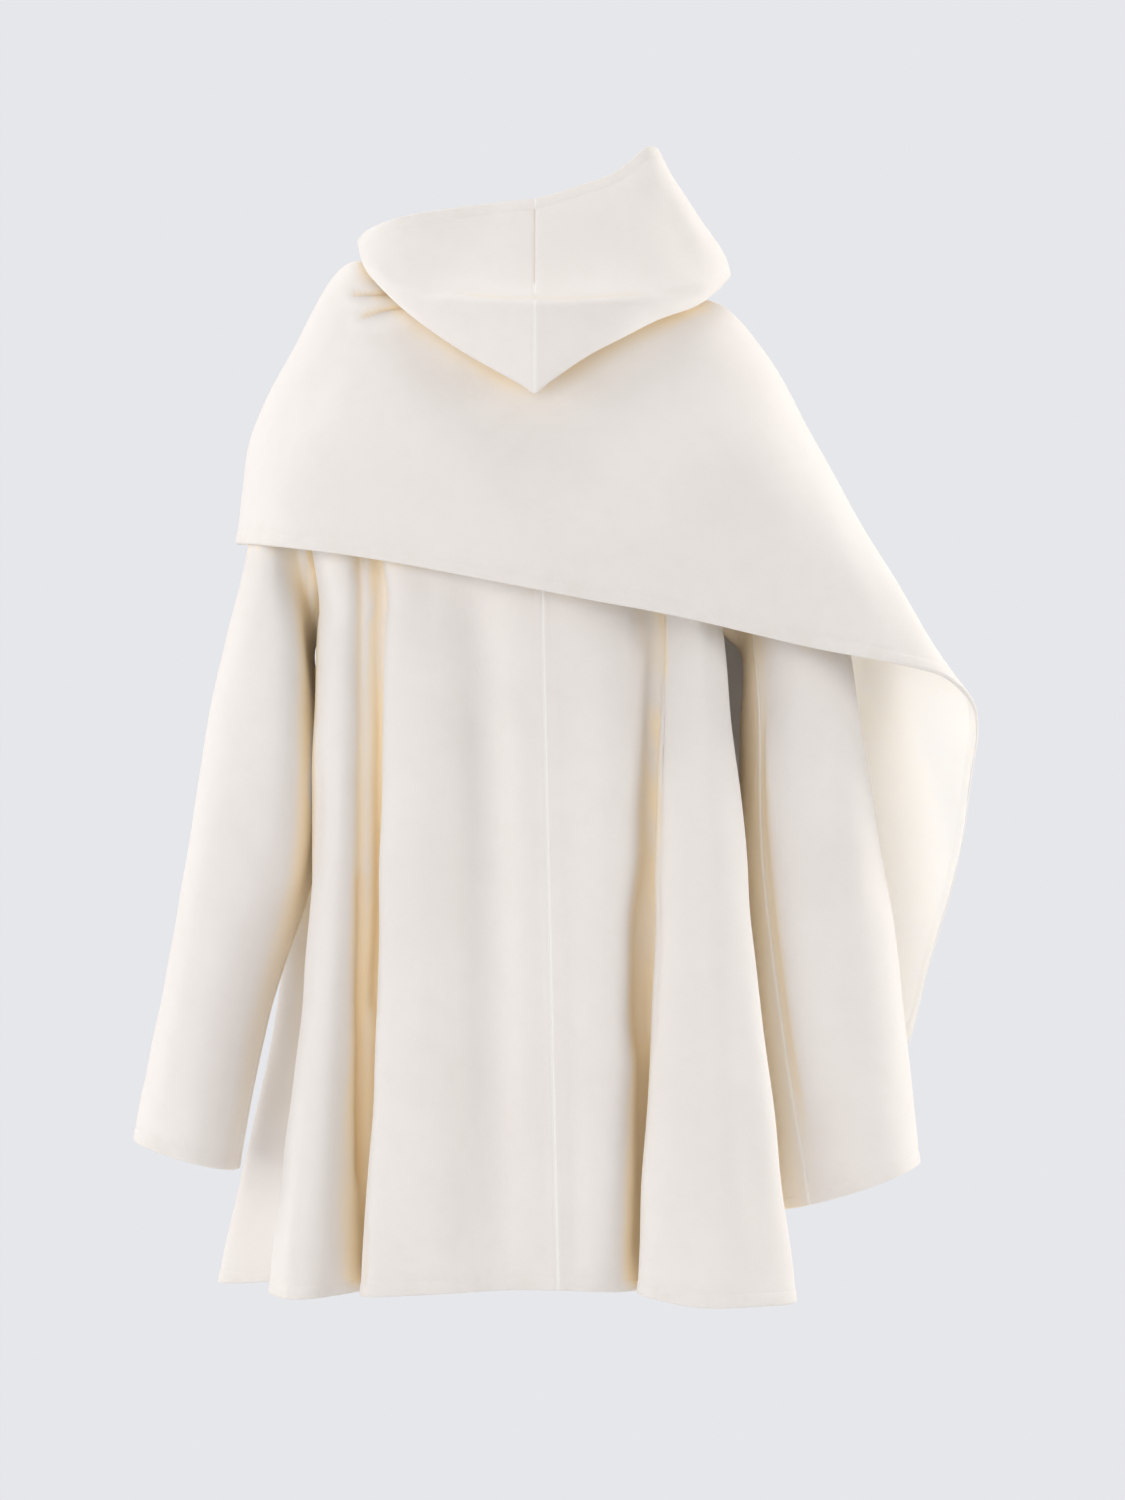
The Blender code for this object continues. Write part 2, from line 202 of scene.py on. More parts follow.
# Ribs of the cape from the neck down, as distance from the middle and height
CAPE_RIBS = table("""
name          angle s_out  s_z t_out   t_z k_out   k_z
front_left     -166   108  -81   126  -105   151  -132
breast_left    -135   127  -33   156   -74   190  -125
chest_left     -110   140   15   182   -35   229  -101
side_left       -90   142   38   190   -31   223   -94
blade_left      -65   129    5   164   -45   190  -108
back_left       -45   111  -16   136   -59   159  -117
centre            0    88  -27   104   -62   121  -123
back_right       45   110  -16   136   -59   159  -117
blade_right      65   127   -5   161   -47   188  -105
side_right       90   143    5   183   -35   216   -94
chest_right     110   140    0   182   -40   224  -105
breast_right    135   125  -42   150   -85   181  -154
front_right     168   108  -85   122  -120   142  -191
""")

# The lower edge of the cape, from its short end over the left breast to its long end down the right breast
CAPE_HEM = table("""
name           angle  out     z
short_corner    -166  169  -152
short_end       -150  187  -163
breast          -130  218  -175
chest           -110  250  -182
arm              -90  236  -185
arm_back         -68  217  -191
blade            -45  171  -203
centre             0  147  -227
back_right        45  169  -249
elbow             70  234  -271
rise              80  296  -284
turn_start        86  330  -295
turn              90  346  -315
widest            93  352  -343
below             96  352  -383
fall              99  344  -449
fall_mid       103.7  330  -522
fall_low       107.2  319  -592
long_corner      113  305  -656
long_end         128  260  -675
long_mid         146  217  -683
long_inner       168  184  -688
""")

# Ribs of the hood: how it leaves the neck, its lower fold, its lip, the crease above it, and its rim
HOOD_LEFT = table("""
name          angle rise_out rise_up f_out  f_z l_out  l_z c_out  c_z r_out  r_z
centre            0       14      12   131  -76   150   -7   133    0    94   76
back            -22       14      12   137  -45   148   -4   138    1   105   72
blade           -45       14      12   146   -6   147    7   142   15   135   64
corner          -65       18      16   143   22   148   36   147   46   141   58
end             -80       24      22   135   36   141   46   142   52   138   56
side            -90       26      26   131   41   137   49   136   54   129   57
chest          -120       14      12   117    5   125   11   123   19   111   28
front          -150       12      10   105  -27   113  -20   111  -12   100   -2
corner_front   -178        8       5   105  -57   115  -50   114  -42   103  -30
""")
HOOD_RIGHT = table("""
name          angle rise_out rise_up f_out  f_z l_out  l_z c_out  c_z r_out  r_z
centre            0       14      12   131  -76   150   -7   133    0    94   76
back             22       14      12   137  -41   149   -4   139    2    92   87
blade            45       14      12   143  -12   149    4   145    9    95  103
peak             58       14      12   148   -1   153   11   149   16   105  122
corner           75       14      12   151   14   155   22   153   30   105  113
side             92       14      12   148   22   154   27   153   33   105   98
chest           110       14      12   136   15   142   22   140   31   107   80
breast          130       14      12   119   -3   125    4   123   14   104   46
front           150       12      10   106  -27   114  -19   112  -10   100   12
corner_front    178        8       5   105  -57   115  -50   114  -42   103  -30
""")

# Creases laid in one by one. Each runs between two places across and up the view from that side (0 is the
# back,
# 90 the wearer's right), bowed sideways in its middle. A depth under zero is a ridge.
CREASES = {
    "cape": table("""
name            view  from from_z    to  to_z bow depth width
neck_pinch         0  -150      9  -106    12  -2   4.5   3.0
neck_pinch_lip     0  -152      2  -112     4  -2  -2.5   5.0
neck_tuck          0  -143    -14   -86    -3   4   4.5   4.0
neck_tuck_lip      0  -150    -24   -84   -12   5  -3.0   7.0
neck_slack         0  -165    -30  -105   -28   6   2.5  10.0
shoulder_left      0  -205   -130  -130   -40  12   2.5  22.0
blade_left         0  -175   -185   -90   -90 -10   1.8  30.0
blade_right        0    60   -110   205  -240 -14   1.6  34.0
hood_drag          0   105    -10   200  -150  10   1.2  26.0
arm_right          0   150    -70   290  -262 -10  -3.0  30.0
edge_lift          0    40   -236   160  -262   6  -2.0  18.0
thread_pull        0    71   -190    75  -200   1   1.4   3.0
front_drop        90    80   -640    20  -330  10   6.0  24.0
front_drop_2      90   130   -640   100  -300 -12   7.0  24.0
side_sway         90    50   -600    10  -250  14  -4.0  28.0
breast_left      180   150   -120   205  -175  -8   4.0  18.0
breast_right     180  -120   -640   -90  -160 -16   9.0  20.0
breast_right_2   180  -215   -620  -170  -220  18   9.0  22.0
breast_right_3   180  -270   -560  -235  -300  10   6.0  20.0
breast_crest     180  -165   -630  -128  -220   0  -4.0  22.0
"""),
    "coat_back_left": table("""
name            view  from from_z    to  to_z bow depth width
first_line         0  -136   -160  -132  -690  -1   3.6   5.0
first_line_low     0  -134   -440  -131  -765   0   3.0   5.0
second_line        0  -121   -160  -123  -560   0   3.0   4.0
outer_hang         0  -176   -440  -186  -760   2  -3.0   9.0
outer_hang_dip     0  -198   -520  -215  -760   2   3.5  13.0
centre_trough      0   -46   -205   -44  -768   3  12.0  22.0
centre_crest       0   -84   -240   -86  -765  -3  -5.0  20.0
centre_rise        0   -14   -300    -8  -765   2  -3.0  14.0
side_fall        270    70   -740    90  -330  10   4.0  26.0
"""),
    "coat_back_right": table("""
name            view  from from_z    to  to_z bow depth width
seam_side          0    30   -260    33  -765   3   3.0  16.0
right_crest        0    58   -240    54  -765  -3  -2.6  16.0
groove_soft        0    92   -170    80  -600   2   5.0  15.0
groove_line        0    98   -190    77  -750   0   2.0   5.0
fold_inner         0   112   -330   104  -740   4  -2.0  14.0
fold_outer         0   158   -480   178  -755  -4   2.6  18.0
side_fall         90   -70   -740   -95  -420  10   4.0  24.0
"""),
    "coat_front_left": table("""
name            view  from from_z    to  to_z bow depth width
front_fall_1     180    60   -745    45  -330   6   5.0  16.0
front_fall_2     180   112   -740    88  -300  -8   7.0  18.0
front_fall_3     180   175   -740   150  -420   8   7.0  20.0
"""),
    "coat_front_right": table("""
name            view  from from_z    to  to_z bow depth width
front_fall_1     180   -84   -745   -74  -360  -4   5.0  15.0
front_fall_2     180  -118   -740   -96  -280   8   6.0  18.0
front_fall_3     180  -170   -740  -140  -440  -8   6.0  20.0
"""),
    "sleeve_left_under": table("""
name            view  from from_z    to  to_z bow depth width
underarm_fill     90   -12   -350   -12  -225   0  -3.0  18.0
"""),
    "sleeve_left_top": table("""
name            view  from from_z    to  to_z bow depth width
back_flat          0  -192   -200  -196  -480   0  -4.0  14.0
long_fall          0  -262   -640  -228  -330  -6   2.5  24.0
elbow_tuck         0  -205   -418  -246  -394   4   2.2  12.0
elbow_tuck_2       0  -214   -470  -258  -438   5   1.8  14.0
outer_slack      270   -30   -600    10  -280  -8   3.0  26.0
elbow_front      180   200   -440   262  -420  -6   4.0  16.0
elbow_front_2    180   205   -400   255  -372  -5   3.0  13.0
front_fall       180   262   -650   240  -470   6   2.5  22.0
"""),
    "sleeve_right_top": table("""
name            view  from from_z    to  to_z bow depth width
back_flat          0   186   -300   212  -660   0  -7.0  20.0
long_fall          0   232   -310   246  -640   4   3.0  16.0
back_fall          0   270   -420   285  -670  -5   2.2  20.0
elbow_tuck         0   190   -425   240  -452   5   1.8  14.0
elbow_front      180  -198   -452  -258  -428   6   4.0  16.0
elbow_front_2    180  -196   -410  -250  -380   6   3.0  13.0
front_fall       180  -255   -670  -240  -480  -6   2.5  22.0
"""),
    "hood_left": table("""
name            view  from from_z    to  to_z bow depth width
valley             0   -92      3    20    -4  -2   1.2   4.0
valley_deep        0   -56     -1    20    -4  -1   1.0   3.0
seam_line          0     0     72     0     4   0   1.5   2.6
valley_lip         0   -84     -5    20   -11  -1  -1.6   5.0
soft_dent          0  -100     38   -30    20   8   2.2  24.0
front_roll       180    40     10   115    30   8   2.5  14.0
"""),
    "hood_right": table("""
name            view  from from_z    to  to_z bow depth width
valley             0   -20     -4   132     6  -3   1.2   4.0
valley_deep        0   -20     -4    84    -2  -1   1.0   3.0
seam_line          0     0     72     0     4   0   1.5   2.6
valley_lip         0   -20    -11   118    -3  -2  -1.6   5.0
rim_fall           0    95    105   120    45  -6   2.4  20.0
side_dent         90   -60     60    10    55   8   2.5  18.0
front_roll       180  -115     40   -40    10   8   2.5  14.0
"""),
}

# Slight unevenness of pressed wool: the length, direction and height of each low wave
WAVES = table("""
name    length      x      y      z shift height
drape      190   0.55   0.30   0.35   0.4   0.90
sway       137   0.80  -0.40   0.20   1.9   0.55
slack       96  -0.50   0.45   0.70   3.1   0.40
press       71   0.65   0.70  -0.25   5.2   0.26
dimple      49  -0.72   0.20  -0.60   2.2   0.16
finger      33   0.35  -0.85   0.45   4.0   0.09
""")


# Curves
class Curve:
    """A smooth curve through points at rising knots.

    It sets out along start, where that is given, and leaves the knot numbered straight along its own span.
    """

    def __init__(self, knots, points, start=None, straight=None):
        self.knots = np.array(knots, float)
        self.points = np.array(points, float)
        spans = np.diff(self.knots).reshape((-1,) + (1,) * (self.points.ndim - 1))
        slopes = np.diff(self.points, axis=0) / spans
        inner = (slopes[:-1] * spans[1:] + slopes[1:] * spans[:-1]) / (spans[:-1] + spans[1:])
        if straight:
            inner[straight - 1] = slopes[straight]
        first = slopes[0] if start is None else start
        self.tangents = np.concatenate([[first], inner, [slopes[-1]]])

    def at(self, knot):
        knot = np.asarray(knot, float)
        i = np.clip(np.searchsorted(self.knots, knot, side="right") - 1, 0, len(self.knots) - 2)
        spread = knot.shape + (1,) * (self.points.ndim - 1)
        span = (self.knots[i + 1] - self.knots[i]).reshape(spread)
        t = (knot - self.knots[i]).reshape(spread) / span
        return (
            self.points[i] * (2 * t**3 - 3 * t**2 + 1)
            + self.tangents[i] * (t**3 - 2 * t**2 + t) * span
            + self.points[i + 1] * (3 * t**2 - 2 * t**3)
            + self.tangents[i + 1] * (t**3 - t**2) * span
        )


def through(points, start=None):
    """A smooth curve through points, with knots as far apart as the points."""
    points = np.array(points, float)
    steps = np.linalg.norm(np.diff(points, axis=0), axis=1)
    return Curve(np.concatenate([[0.0], np.cumsum(steps)]), points, start)


def spaced(length, count, start, end):
    """Places along a length, close together beside a turned edge or a seam."""
    head = EDGE_STEPS if start else (0,)
    tail = EDGE_STEPS if end else (0,)
    inner = np.linspace(head[-1], length - tail[-1], count)
    return np.concatenate([head[:-1], inner, length - np.array(tail[:-1])[::-1]])


def evened(curve, count, start, end):
    """Points along a curve, close together beside a turned edge or a seam."""
    drawn = through(curve.at(np.linspace(curve.knots[0], curve.knots[-1], CURVE_DRAWN)))
    return drawn.at(spaced(drawn.knots[-1], count, start, end))


def respaced(rows, count):
    """A grid whose rows run through these points, with places close together beside both ends."""
    grid = []
    for row in rows:
        curve = through(row)
        grid.append(curve.at(spaced(curve.knots[-1], count, True, True)))
    return np.array(grid)


def unit(vectors):
    return vectors / np.maximum(np.linalg.norm(vectors, axis=-1, keepdims=True), 1e-9)


def polar(angle, out, z):
    """The place this far out from the middle, in a direction from the back round by the wearer's right."""
    turn = math.radians(angle)
    return np.array([out * math.sin(turn), -out * math.cos(turn), z])


# The coat's surface
def ring_point(ring, angle):
    """Points of a ring of the coat, before its folds."""
    side, end = np.sin(np.radians(angle)), np.cos(np.radians(angle))
    x = side * np.where(side > 0, ring["right"], ring["left"])
    y = -end * np.where(end > 0, ring["back"], ring["front"])
    end_z = np.where(end > 0, ring["back_z"], ring["front_z"])
    return np.stack([x, y, end_z * end**2 + ring["side_z"] * side**2], axis=-1)


def fold_curve():
    """How far the folds stand from the plain hem and how late they grow, by the angle round the body."""
    angles = [fold["angle"] for fold in HEM_FOLDS]
    offsets = []
    for fold in HEM_FOLDS:
        plain = ring_point(COAT_RINGS[-1], fold["angle"])
        place = np.array([fold["x"], fold["y"], plain[2] - fold["drop"]])
        offsets.append(np.append(place - plain, fold["late"]))
    before = [angle - 360 for angle in angles[-3:]]
    after = [angle + 360 for angle in angles[:3]]
    return Curve(before + angles + after, offsets[-3:] + offsets + offsets[:3])


FOLDS = fold_curve()


def narrowed(angle, run, front):
    """The angle of a column beside an armhole, where the columns draw in toward the centre back or front."""
    if not SHOULDER_TIP < run < UNDERARM:
        return angle
    opening = math.sin(math.pi * (run - SHOULDER_TIP) / (UNDERARM - SHOULDER_TIP)) ** ARMHOLE_ROUND
    right = np.where(angle <= 180, angle, 360 - angle)
    if front:
        right = right + FRONT_ARMHOLE * opening * ((180 - right) / 90) ** 2
    else:
        right = right - BACK_ARMHOLE * opening * (right / 90) ** 2
    return np.where(angle <= 180, right, 360 - right)


def coat_surface(run, angle, front):
    """Points of the coat at this run from the neck."""
    angle = np.atleast_1d(np.asarray(angle, float))
    place = narrowed(angle, run, front)
    folds = FOLDS.at(angle)
    offset, late = folds[..., :3], folds[..., 3:]
    points = [ring_point(ring, place) + ring["fold"] ** late * offset for ring in COAT_RINGS]
    return Curve([ring["run"] for ring in COAT_RINGS], points, straight=YOKE).at(run)


def coat_point(run, angle, front, rise=0.0):
    """Points of the coat, moved out from its surface by the rise."""
    point = coat_surface(run, angle, front)
    down = coat_surface(run + SLOPE_RUN, angle, front) - point
    across = coat_surface(run, np.asarray(angle) + SLOPE_ANGLE, front) - point
    return point + np.reshape(rise, (-1, 1)) * unit(np.cross(down, across))


def lap_rise(angle):
    """How much of the lap's thickness a front has at this angle: none beside it, all of it over the lap."""
    return LAP * np.clip(1 - (np.abs(angle - 180) - LAP_EDGE) / LAP_RAMP, 0, 1)


def on_coat(run, angle, rise):
    """A point over the coat near its neck, in this direction from the middle."""
    ring = COAT_RINGS[0]
    turn = math.radians(angle)
    depth = ring["back"] if abs(angle) < 90 else ring["front"]
    own = math.degrees(math.atan2(math.sin(turn) / ring["right"], math.cos(turn) / depth)) % 360
    return coat_point(run, own, 90 < own < 270, rise + lap_rise(own))[0]


# Grids of cloth, rows down and columns across
def coat_grid(first, last, front, lap, count):
    """One panel of the coat between two angles. It laps over its neighbour at 1 and under it at -1."""
    angles = np.linspace(first, last, COAT_DRAWN) % 360
    runs = spaced(COAT_RINGS[-1]["run"], COAT_ROWS, False, True)
    return respaced([coat_point(run, angles, front, lap * lap_rise(angles)) for run in runs], count)


def armhole(side):
    """The armhole's loop from the shoulder tip, down its front and up its back.

    With its places come the ways into the opening and the ways out of the coat.
    """
    angle = 90.0 if side > 0 else 270.0
    rounds = [(run, True) for run in ARMHOLE_RUNS]
    rounds += [(run, False) for run in reversed(ARMHOLE_RUNS[1:-1])]
    loop = [coat_surface(run, angle, front)[0] for run, front in rounds]
    middle = sum(loop) / len(loop)
    ways, normals = [], []
    for i, (run, front) in enumerate(rounds):
        along = loop[(i + 1) % len(loop)] - loop[i - 1]
        inside = angle + (BESIDE if (side > 0) == front else -BESIDE)
        down = coat_surface(run + SLOPE_RUN, angle, front)[0] - coat_surface(run - SLOPE_RUN, angle, front)[0]
        across = coat_surface(run, inside, front)[0] - loop[i]
        normal = np.cross(down, across)
        if normal[0] * side < 0:
            normal = -normal
        way = unit(np.cross(normal, along))
        if np.dot(way, middle - loop[i]) < 0:
            way = -way
        ways.append(way)
        normals.append(unit(normal))
    halved = []
    for places in (loop, ways, normals):
        after = places[1:] + places[:1]
        halved.append([place for a, b in zip(places, after) for place in (a, (a + b) / 2)])
    return halved


def sleeve_stop(side, section, turn):
    """The place on one section of a sleeve, as far round as this turn."""
    outer = np.array([side * section["outer"], section["mid_y"], section["outer_z"]])
    inner = np.array([side * section["inner"], section["mid_y"], section["inner_z"]])
    depth = np.array([0.0, section["half_y"], 0.0])
    middle, half = (outer + inner) / 2, (outer - inner) / 2
    return middle + half * math.cos(turn) + depth * math.sin(turn)


def sleeve_columns(side, sections, back_seam):
    """The sleeve's columns from the armhole to the cuff, round from the top of the shoulder by the front.

    The back seam is the number of its column and how far round it lies in degrees.
    """
    points, ways, normals = armhole(side)
    outward = unit(np.array([0.95 * side, 0.0, -0.3]))
    columns = []
    for i in range(SLEEVE_SIDES):
        turn = math.radians(np.interp(i, (0, 8, 12, back_seam[0], 24), (0, 124, 180, back_seam[1], 360)))
        # The cap sets out over the shoulder, and the underarm out of the side of the coat
        height = math.cos(2 * math.pi * i / SLEEVE_SIDES)
        under = min(max(-2 * height, 0), 1)
        over = unit(outward + (0.6 * max(height, 0) - 0.2) * ways[i])
        lead = unit((1 - under) * over + under * unit(0.5 * normals[i] - 0.85 * ways[i]))
        start = points[i] + (1 - under) * CAP_GAP * over + under * (2 * HALF_WALL + UNDERARM_GAP) * normals[i]
        stops = [start] + [sleeve_stop(side, section, turn) for section in sections]
        columns.append(evened(through(stops, lead), SLEEVE_ROWS, True, True))
    return columns


def sleeve_grid(columns, first, last, side, count):
    """One piece of a sleeve, between two of its columns."""
    wrapped = np.array([columns[i % SLEEVE_SIDES] for i in range(first - 3, last + 4)])
    places = np.linspace(first, last, 10 * (last - first) + 1)
    across = Curve(range(first - 3, last + 4), wrapped).at(places)
    grid = respaced(across.transpose(1, 0, 2), count)
    return grid if side > 0 else grid[:, ::-1]


def cape_grid(count):
    """The cape, whose columns run from the neck over the shoulder to the points of its lower edge."""
    hem = through([polar(row["angle"], row["out"], row["z"]) for row in CAPE_HEM])
    keys = ("s_out", "s_z", "t_out", "t_z", "k_out", "k_z")
    ribs = Curve([row["angle"] for row in CAPE_RIBS], [[row[key] for key in keys] for row in CAPE_RIBS])
    columns = []
    for knot in np.linspace(0, hem.knots[-1], CAPE_DRAWN):
        low = hem.at(knot)
        angle = math.degrees(math.atan2(low[0], -low[1]))
        s_out, s_z, t_out, t_z, k_out, k_z = ribs.at(angle)
        stops = [
            on_coat(CAPE_RUN, angle, CAPE_RISE),
            polar(angle, s_out, s_z),
            polar(angle, t_out, t_z),
            polar(angle, k_out, k_z),
            low,
        ]
        columns.append(evened(through(stops), CAPE_ROWS, False, True))
    return respaced(np.array(columns).transpose(1, 0, 2), count)


def hood_grid(rows, count):
    """One half of the hood, from the centre seam round to its front corner."""
    keys = ("rise_out", "rise_up", "f_out", "f_z", "l_out", "l_z", "c_out", "c_z", "r_out", "r_z")
    side = 1 if rows[-1]["angle"] > 0 else -1
    ribs = Curve([side * row["angle"] for row in rows], [[row[key] for key in keys] for row in rows])
    columns = []
    for angle in np.linspace(0, rows[-1]["angle"], HOOD_DRAWN):
        rise_out, rise_up, f_out, f_z, l_out, l_z, c_out, c_z, r_out, r_z = ribs.at(side * angle)
        base = on_coat(0, angle, 0) + np.array([0, 0, HOOD_RISE])
        rise = base + polar(angle, rise_out, rise_up - HOOD_RISE)
        fold = polar(angle, f_out, f_z)
        stops = [
            base,
            rise,
            (rise + fold) / 2,
            fold,
            polar(angle, l_out, l_z),
            polar(angle, c_out, c_z),
            polar(angle, r_out, r_z),
        ]
        columns.append(evened(through(stops), HOOD_ROWS, False, True))
    if side < 0:
        columns.reverse()
    return respaced(np.array(columns).transpose(1, 0, 2), count)


# Creases and low waves
def facing_out(grid):
    """The way out of the cloth at each point of a grid."""
    down, across = np.gradient(grid, axis=0), np.gradient(grid, axis=1)
    return unit(np.cross(down, across))


def shown_side(name):
    """The side of a piece that shows: 1 for its outer face, -1 for the hood, which is turned back."""
    return -1 if name.startswith("hood") else 1


def crease_depth(grid, normals, crease):
    """How far one crease pushes each point in, fading at its ends and where the cloth turns from the view."""
    turn = math.radians(crease["view"])
    sideways = grid[..., 0] * math.cos(turn) + grid[..., 1] * math.sin(turn)
    flat = np.stack([sideways, grid[..., 2]], axis=-1)
    start = np.array([crease["from"], crease["from_z"]])
    end = np.array([crease["to"], crease["to_z"]])
    length = np.linalg.norm(end - start)
    way = (end - start) / length
    square = np.array([-way[1], way[0]])
    t = (flat - start) @ way / length
    bow = crease["bow"] * np.clip(1 - (2 * t - 1) ** 2, -1, 1)
    beside = ((flat - start) @ square - bow) / crease["width"]
    run_out = min(RUN_OUT_SHARE * length, RUN_OUT_WIDTHS * crease["width"])
    ends = np.clip(np.minimum(t, 1 - t) * length / run_out, -1, 1)
    fade = np.where(ends > 0, np.sin(np.clip(ends, 0, 1) * math.pi / 2) ** 2, 0)
    toward_view = np.array([math.sin(turn), -math.cos(turn), 0.0])
    facing = np.clip((normals @ toward_view) / FACING_FULL, 0, 1)
    return crease["depth"] * np.exp(-(beside**2)) * fade * facing


def uneven(grid):
    """The low waves of the cloth at each point."""
    total = 0
    for wave in WAVES:
        way = unit(np.array([wave["x"], wave["y"], wave["z"]]))
        phase = 2 * math.pi * (grid @ way) / wave["length"] + wave["shift"]
        total = total + wave["height"] * np.sin(phase)
    return total


def edge_places(grid, sides):
    """For each point: its place across and down, its distance from these edges and its place along them."""
    across = np.linalg.norm(np.diff(grid, axis=1), axis=2)
    down = np.linalg.norm(np.diff(grid, axis=0), axis=2)
    u = np.concatenate([np.zeros((len(grid), 1)), np.cumsum(across, axis=1)], axis=1)
    v = np.concatenate([np.zeros((1, grid.shape[1])), np.cumsum(down, axis=0)], axis=0)
    away = {"top": v, "bottom": v[-1:] - v, "left": u, "right": u[:, -1:] - u}
    along = {"top": u, "bottom": u, "left": v, "right": v}
    near, place = np.full(u.shape, NO_EDGE), np.zeros(u.shape)
    for side in sides:
        closer = away[side] < near
        near = np.where(closer, away[side], near)
        place = np.where(closer, along[side], place)
    return u, v, near, place


def creased(name, grid, seams):
    """The piece with its low waves and its creases laid in, and how far the narrow creases press in, for the
    shade painted along them.
    """
    normals = facing_out(grid) * shown_side(name)
    calm = 1 - np.exp(-((edge_places(grid, seams)[2] / SEAM_CALM) ** 2))
    push = uneven(grid) * (SEAM_WAVES + (1 - SEAM_WAVES) * calm)
    hollow = np.zeros(push.shape)
    crossing = 1 if shown_side(name) < 0 else np.clip(calm * CROSSING, 0, 1)
    for crease in CREASES.get(name, []):
        press_and_painted_shade = crease_depth(grid, normals, crease) * crossing
        push = push - press_and_painted_shade
        # Narrow creases also keep their press, for the shade painted along them.
        if crease["width"] < NARROW:
            hollow = hollow + np.maximum(press_and_painted_shade, 0)
    return grid + normals * push[..., None], hollow


# How shut in by cloth each place lies, which the wool's colour takes as painted shade in the folds
def quads_of(places):
    """The four-sided faces of a grid, from the numbers of its points."""
    corners = (places[:-1, :-1], places[1:, :-1], places[1:, 1:], places[:-1, 1:])
    return np.stack(corners, axis=-1).reshape(-1, 4)


def cloth_tree(grids):
    """A search tree of all the pieces, in metres, from every second row and column."""
    points, quads, start = [], [], 0
    for grid in grids:
        coarse = grid[::2, ::2] * METRES
        rows, columns = coarse.shape[:2]
        quads.append(quads_of(np.arange(rows * columns).reshape(rows, columns) + start))
        points.append(coarse.reshape(-1, 3))
        start += rows * columns
    return BVHTree.FromPolygons(np.concatenate(points).tolist(), np.concatenate(quads).tolist())


def spray_of_rays():
    """Directions spread over half a ball about the third axis, closer together toward that axis."""
    turns = np.arange(RAYS) * math.pi * (3 - math.sqrt(5))
    rise = np.sqrt((np.arange(RAYS) + 0.5) / RAYS)
    return np.stack([rise * np.cos(turns), rise * np.sin(turns), np.sqrt(1 - rise**2)], axis=1)


def rays_met(tree, spray, point, normal):
    """How many rays from a point meet cloth, where far cloth counts for less."""
    side = unit(np.cross(normal, (0.31, 0.52, 0.79)))
    axes = np.stack([side, np.cross(normal, side), normal])
    place = (point * METRES + normal * RAY_START).tolist()
    met = 0.0
    for ray in (spray @ axes).tolist():
        distance = tree.ray_cast(place, ray, RAY_REACH)[3]
        if distance is not None:
            met += 1 - FAR_LOSS * distance / RAY_REACH
    return met


def every_few(count):
    """Every few of this many places, and the last."""
    return np.unique(np.append(np.arange(0, count, RAY_STEP), count - 1))


def occlusion_for_painted_shade(grids):
    """How shut in each piece lies in the folds, for the shade painted there: the share of rays from its shown
    side that meet cloth.
    """
    tree = cloth_tree(grids.values())
    spray = spray_of_rays()
    occlusion_shares = {}
    for name, grid in grids.items():
        normals = facing_out(grid) * shown_side(name)
        take_i, take_j = every_few(grid.shape[0]), every_few(grid.shape[1])
        met = [[rays_met(tree, spray, grid[i, j], normals[i, j]) for j in take_j] for i in take_i]
        rows = Curve(take_i, np.array(met) / RAYS).at(np.arange(grid.shape[0]))
        occlusion_shares[name] = np.clip(Curve(take_j, rows.T).at(np.arange(grid.shape[1])).T, 0, 1)
    return occlusion_shares


# Shells of cloth
def face_lifts(from_hem, edge, seam, hem):
    """How far the outer and the inner face stand from the middle of the cloth."""
    band = TURNED_RISE * np.clip(1 - (edge / TURNED) ** 4, 0, 1)
    band = band - STITCH_DIP * np.exp(-(((edge - TURNED) / STITCH_WIDTH) ** 2))
    ridge = SEAM_RIDGE * np.exp(-(((seam - SEAM_RIDGE_AWAY) / SEAM_RIDGE_WIDTH) ** 2))
    lift = HALF_WALL + band + ridge
    if not hem:
        return lift, lift
    return lift, lift + HEM_RISE / (1 + np.exp((from_hem - HEM_DEPTH) / HEM_STEP))


def rim_of(grid, turned):
    """The places round the edge of a grid, each with its way out of the cloth and the size of its roll."""
    rows, columns = grid.shape[:2]
    down, over = unit(np.gradient(grid, axis=0)), unit(np.gradient(grid, axis=1))
    ring = [(0, j, -down[0, j], "top") for j in range(columns)]
    ring += [(i, columns - 1, over[i, -1], "right") for i in range(1, rows)]
    ring += [(rows - 1, j, down[-1, j], "bottom") for j in range(columns - 2, -1, -1)]
    ring += [(i, 0, -over[i, 0], "left") for i in range(rows - 2, 0, -1)]
    corners = {
        (0, 0): -down[0, 0] - over[0, 0],
        (0, columns - 1): over[0, -1] - down[0, -1],
        (rows - 1, columns - 1): down[-1, -1] + over[-1, -1],
        (rows - 1, 0): down[-1, 0] - over[-1, 0],
    }
    place_i = np.array([i for i, _, _, _ in ring])
    place_j = np.array([j for _, j, _, _ in ring])
    outward = np.array([corners.get((i, j), way) for i, j, way, _ in ring])
    roll = np.array([EDGE_ROLL if side in turned else SEAM_ROLL for _, _, _, side in ring])
    return place_i, place_j, outward, roll[:, None]


